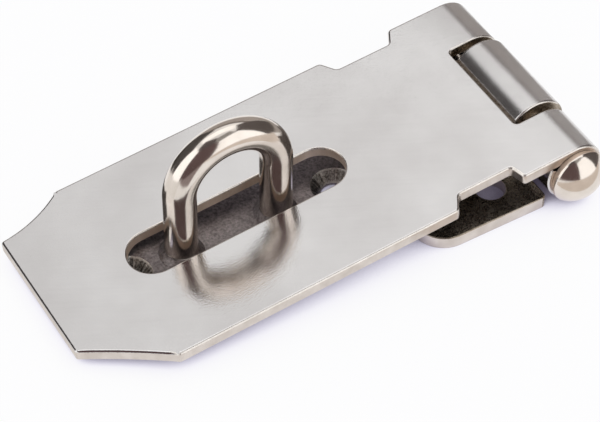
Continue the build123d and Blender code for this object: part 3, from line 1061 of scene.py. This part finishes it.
def white_room(seen, fill):
    """World whose strength sweeps along X for camera and metal, and is even for the rest."""
    world = bpy.data.worlds.new("white_room")
    bpy.context.scene.world = world
    world.use_nodes = True
    tree = world.node_tree
    tree.nodes.clear()
    path = tree.nodes.new("ShaderNodeLightPath")
    rays = path.outputs["Is Camera Ray"]
    for kind in ("Is Glossy Ray", "Is Transmission Ray"):
        either = tree.nodes.new("ShaderNodeMath")
        either.operation = "MAXIMUM"
        tree.links.new(rays, either.inputs[0])
        tree.links.new(path.outputs[kind], either.inputs[1])
        rays = either.outputs["Value"]
    mix = tree.nodes.new("ShaderNodeMixShader")
    output = tree.nodes.new("ShaderNodeOutputWorld")
    tree.links.new(rays, mix.inputs["Fac"])
    for socket, colour in ((1, (0.95, 0.95, 1.0)), (2, (1, 1, 1))):
        shine = tree.nodes.new("ShaderNodeBackground")
        shine.inputs["Color"].default_value = (*colour, 1)
        shine.inputs["Strength"].default_value = fill
        tree.links.new(shine.outputs["Background"], mix.inputs[socket])
    place = tree.nodes.new("ShaderNodeTexCoord")
    split = tree.nodes.new("ShaderNodeSeparateXYZ")
    tree.links.new(place.outputs["Generated"], split.inputs["Vector"])
    sweep = spread(tree, split.outputs["X"], *seen, start=SWEEP_FROM, end=SWEEP_TO)
    tree.links.new(sweep, shine.inputs["Strength"])
    tree.links.new(mix.outputs["Shader"], output.inputs["Surface"])


white_room(SEEN, FILL)
print("metal sees the room at", *SEEN, "and the rest is lit at", FILL)

# %% [markdown]
# ### Flats and windows
# Each streak on the bow mirrors one direction, so its colour says what stood there: two tall
# windows, beyond the free end and at the near side, dark flats between them, and a grey flat
# behind with a darker rail on it.

# %% Flats and windows
ROOM_RADIUS = 0.9


def way_to(azimuth, elevation=0.0):
    """Unit vector towards an azimuth, counted from +X towards +Y, and an elevation, in degrees."""
    a, e = math.radians(azimuth), math.radians(elevation)
    return Vector((math.cos(a) * math.cos(e), math.sin(a) * math.cos(e), math.sin(e)))


def reflected_only(piece, material):
    """Give a stage piece its material and hide it from all but glossy rays."""
    piece.data.materials.append(material)
    piece.visible_camera = False
    piece.visible_diffuse = False
    piece.visible_shadow = False
    return piece


def flat(name, azimuth, width, top, colour, strength=1.0, bottom=0.0):
    """Upright flat on the table, from one elevation to another, seen only by metal."""
    bpy.ops.object.select_all(action="DESELECT")
    low, high = (ROOM_RADIUS * math.tan(math.radians(angle)) for angle in (bottom, top))
    place = ROOM_MIDDLE + way_to(azimuth) * ROOM_RADIUS + Vector((0, 0, (low + high) / 2))
    bpy.ops.mesh.primitive_plane_add(size=1, location=place)
    piece = bpy.context.object
    piece.name = name
    piece.scale = (2 * ROOM_RADIUS * math.tan(math.radians(width / 2)), high - low, 1)
    piece.rotation_euler = (math.pi / 2, 0, math.radians(azimuth) - math.pi / 2)
    return reflected_only(piece, glow(name + "_face", colour, strength))


flat("flat_far_left", 119, 66, 50, (0.075, 0.068, 0.066))
flat("window_free_end", 177, 50, 55, (1, 1, 1), 1.35)
flat("flat_near_left", 235, 67, 61, (0.113, 0.074, 0.074))
flat("window_near_side", 297, 58, 57, (1, 1, 1), 1.3)
flat("flat_hinge_end", 353, 72, 61, (0.105, 0.091, 0.087))
flat("flat_grey_behind", 61, 62, 33, (0.40, 0.365, 0.345))
flat("rail_behind", 57, 70, 44, (0.18, 0.155, 0.145), bottom=33)
print("flats and windows stand", ROOM_RADIUS, "m from the middle")

# %% [markdown]
# ### Cards and panels
# The lower sides of the rod and of the pin's head mirror the table, which wasn't evenly
# white either: grey and dark cards lie on it, each with a corner towards the object. Their
# tops mirror the ceiling, with one bright softbox behind and two darker panels.

# %% Cards on the table
CARD_REACH = 0.6
CARD_LIFT = 0.5


def floor_card(name, corners, azimuth, start, colour):
    """Card with 3 or 4 corners that lies on the table, one corner towards the object."""
    bpy.ops.object.select_all(action="DESELECT")
    place = ROOM_MIDDLE + way_to(azimuth) * (start + CARD_REACH) + Vector((0, 0, CARD_LIFT * MM))
    bpy.ops.mesh.primitive_circle_add(vertices=corners, radius=CARD_REACH, fill_type="NGON",
                                      location=place)
    piece = bpy.context.object
    piece.name = name
    piece.rotation_euler = (0, 0, math.radians(azimuth + 90))
    return reflected_only(piece, glow(name + "_face", colour))


floor_card("card_free_end", 4, 170, 0.03, (0.87, 0.86, 0.85))
floor_card("card_near_left", 3, 233, 0.055, (0.287, 0.235, 0.235))
floor_card("card_far_left", 3, 119, 0.06, (0.052, 0.048, 0.043))
floor_card("card_near_side", 4, 300, 0.03, (0.73, 0.656, 0.60))
floor_card("card_hinge_side", 4, 20, 0.065, (0.38, 0.352, 0.333))
print("cards lie", CARD_LIFT, "mm above the table")

# %% Panels above the table
PANEL_DISTANCE = 1.6


def panel_above(name, direction, width, height, colour, strength=1.0):
    """Panel square to a direction above the table, its size in degrees, seen only by metal."""
    bpy.ops.object.select_all(action="DESELECT")
    place = ROOM_MIDDLE + direction * PANEL_DISTANCE
    bpy.ops.mesh.primitive_plane_add(size=1, location=place)
    piece = bpy.context.object
    piece.name = name
    reach = [2 * PANEL_DISTANCE * math.tan(math.radians(angle / 2)) for angle in (width, height)]
    piece.scale = (*reach, 1)
    piece.rotation_euler = direction.to_track_quat("Z", "Y").to_euler()
    return reflected_only(piece, glow(name + "_face", colour, strength))


panel_above("softbox_behind", way_to(80, 74), 52, 26, (1, 1, 1), 1.4)
panel_above("panel_near_left", way_to(222, 68), 40, 24, (0.096, 0.078, 0.078))
panel_above("panel_near_side", way_to(290, 66), 30, 22, (0.32, 0.31, 0.30))
print("panels hang", PANEL_DISTANCE, "m from the middle")

# %% [markdown]
# ### The lamp
# One soft square lamp above the hinge end gives the table its faint cast shadow. It is
# hidden from glossy rays, or it would stand in the metal as a hard white square.

# %% The lamp
def lamp_above(direction, distance, size, radiance):
    """Soft square lamp that lights the table and the object from above."""
    lamp = bpy.data.lights.new("lamp_above", "AREA")
    lamp.size = size
    lamp.energy = radiance * math.pi * size ** 2
    piece = bpy.data.objects.new("lamp_above", lamp)
    piece.location = ROOM_MIDDLE + direction * distance
    piece.rotation_euler = direction.to_track_quat("Z", "Y").to_euler()
    piece.visible_camera = False
    piece.visible_glossy = False
    bpy.context.scene.collection.objects.link(piece)
    return lamp


lamp = lamp_above(way_to(-10, 62), distance=1.3, size=0.6, radiance=1.6)
print("lamp of", round(lamp.energy, 2), "W")

# %% [markdown]
# ## The camera
# It looks down on the object from the left of its near side with a long lens. Its place was
# worked out once from the edges in the photograph and the sizes of the part.

# %% Camera
AZIMUTH, ELEVATION, ROLL = (math.radians(a) for a in (-31.354, 47.732, 0.631))
CAMERA_PLACE = Vector((-178.427, -240.802, 309.824)) * MM
FOCAL_PIXELS, IMAGE_WIDTH, SENSOR = 2278.6, 600, 36.0
back = Vector((
    math.sin(AZIMUTH) * math.cos(ELEVATION),
    -math.cos(AZIMUTH) * math.cos(ELEVATION),
    math.sin(ELEVATION),
))
level = Vector((0, 0, 1)).cross(back).normalized()
right = Matrix.Rotation(ROLL, 3, back) @ level
up = back.cross(right)
camera = bpy.data.objects.new("camera", bpy.data.cameras.new("camera"))
camera.data.sensor_width = SENSOR
camera.data.lens = FOCAL_PIXELS / IMAGE_WIDTH * SENSOR
camera.data.clip_start, camera.data.clip_end = 0.01, 20
camera.matrix_world = Matrix((
    (right.x, up.x, back.x, CAMERA_PLACE.x),
    (right.y, up.y, back.y, CAMERA_PLACE.y),
    (right.z, up.z, back.z, CAMERA_PLACE.z),
    (0, 0, 0, 1),
))
bpy.context.scene.collection.objects.link(camera)
bpy.context.scene.camera = camera
bpy.context.scene.view_settings.view_transform = "Standard"
print("camera right", [round(v, 4) for v in right], "up", [round(v, 4) for v in up])
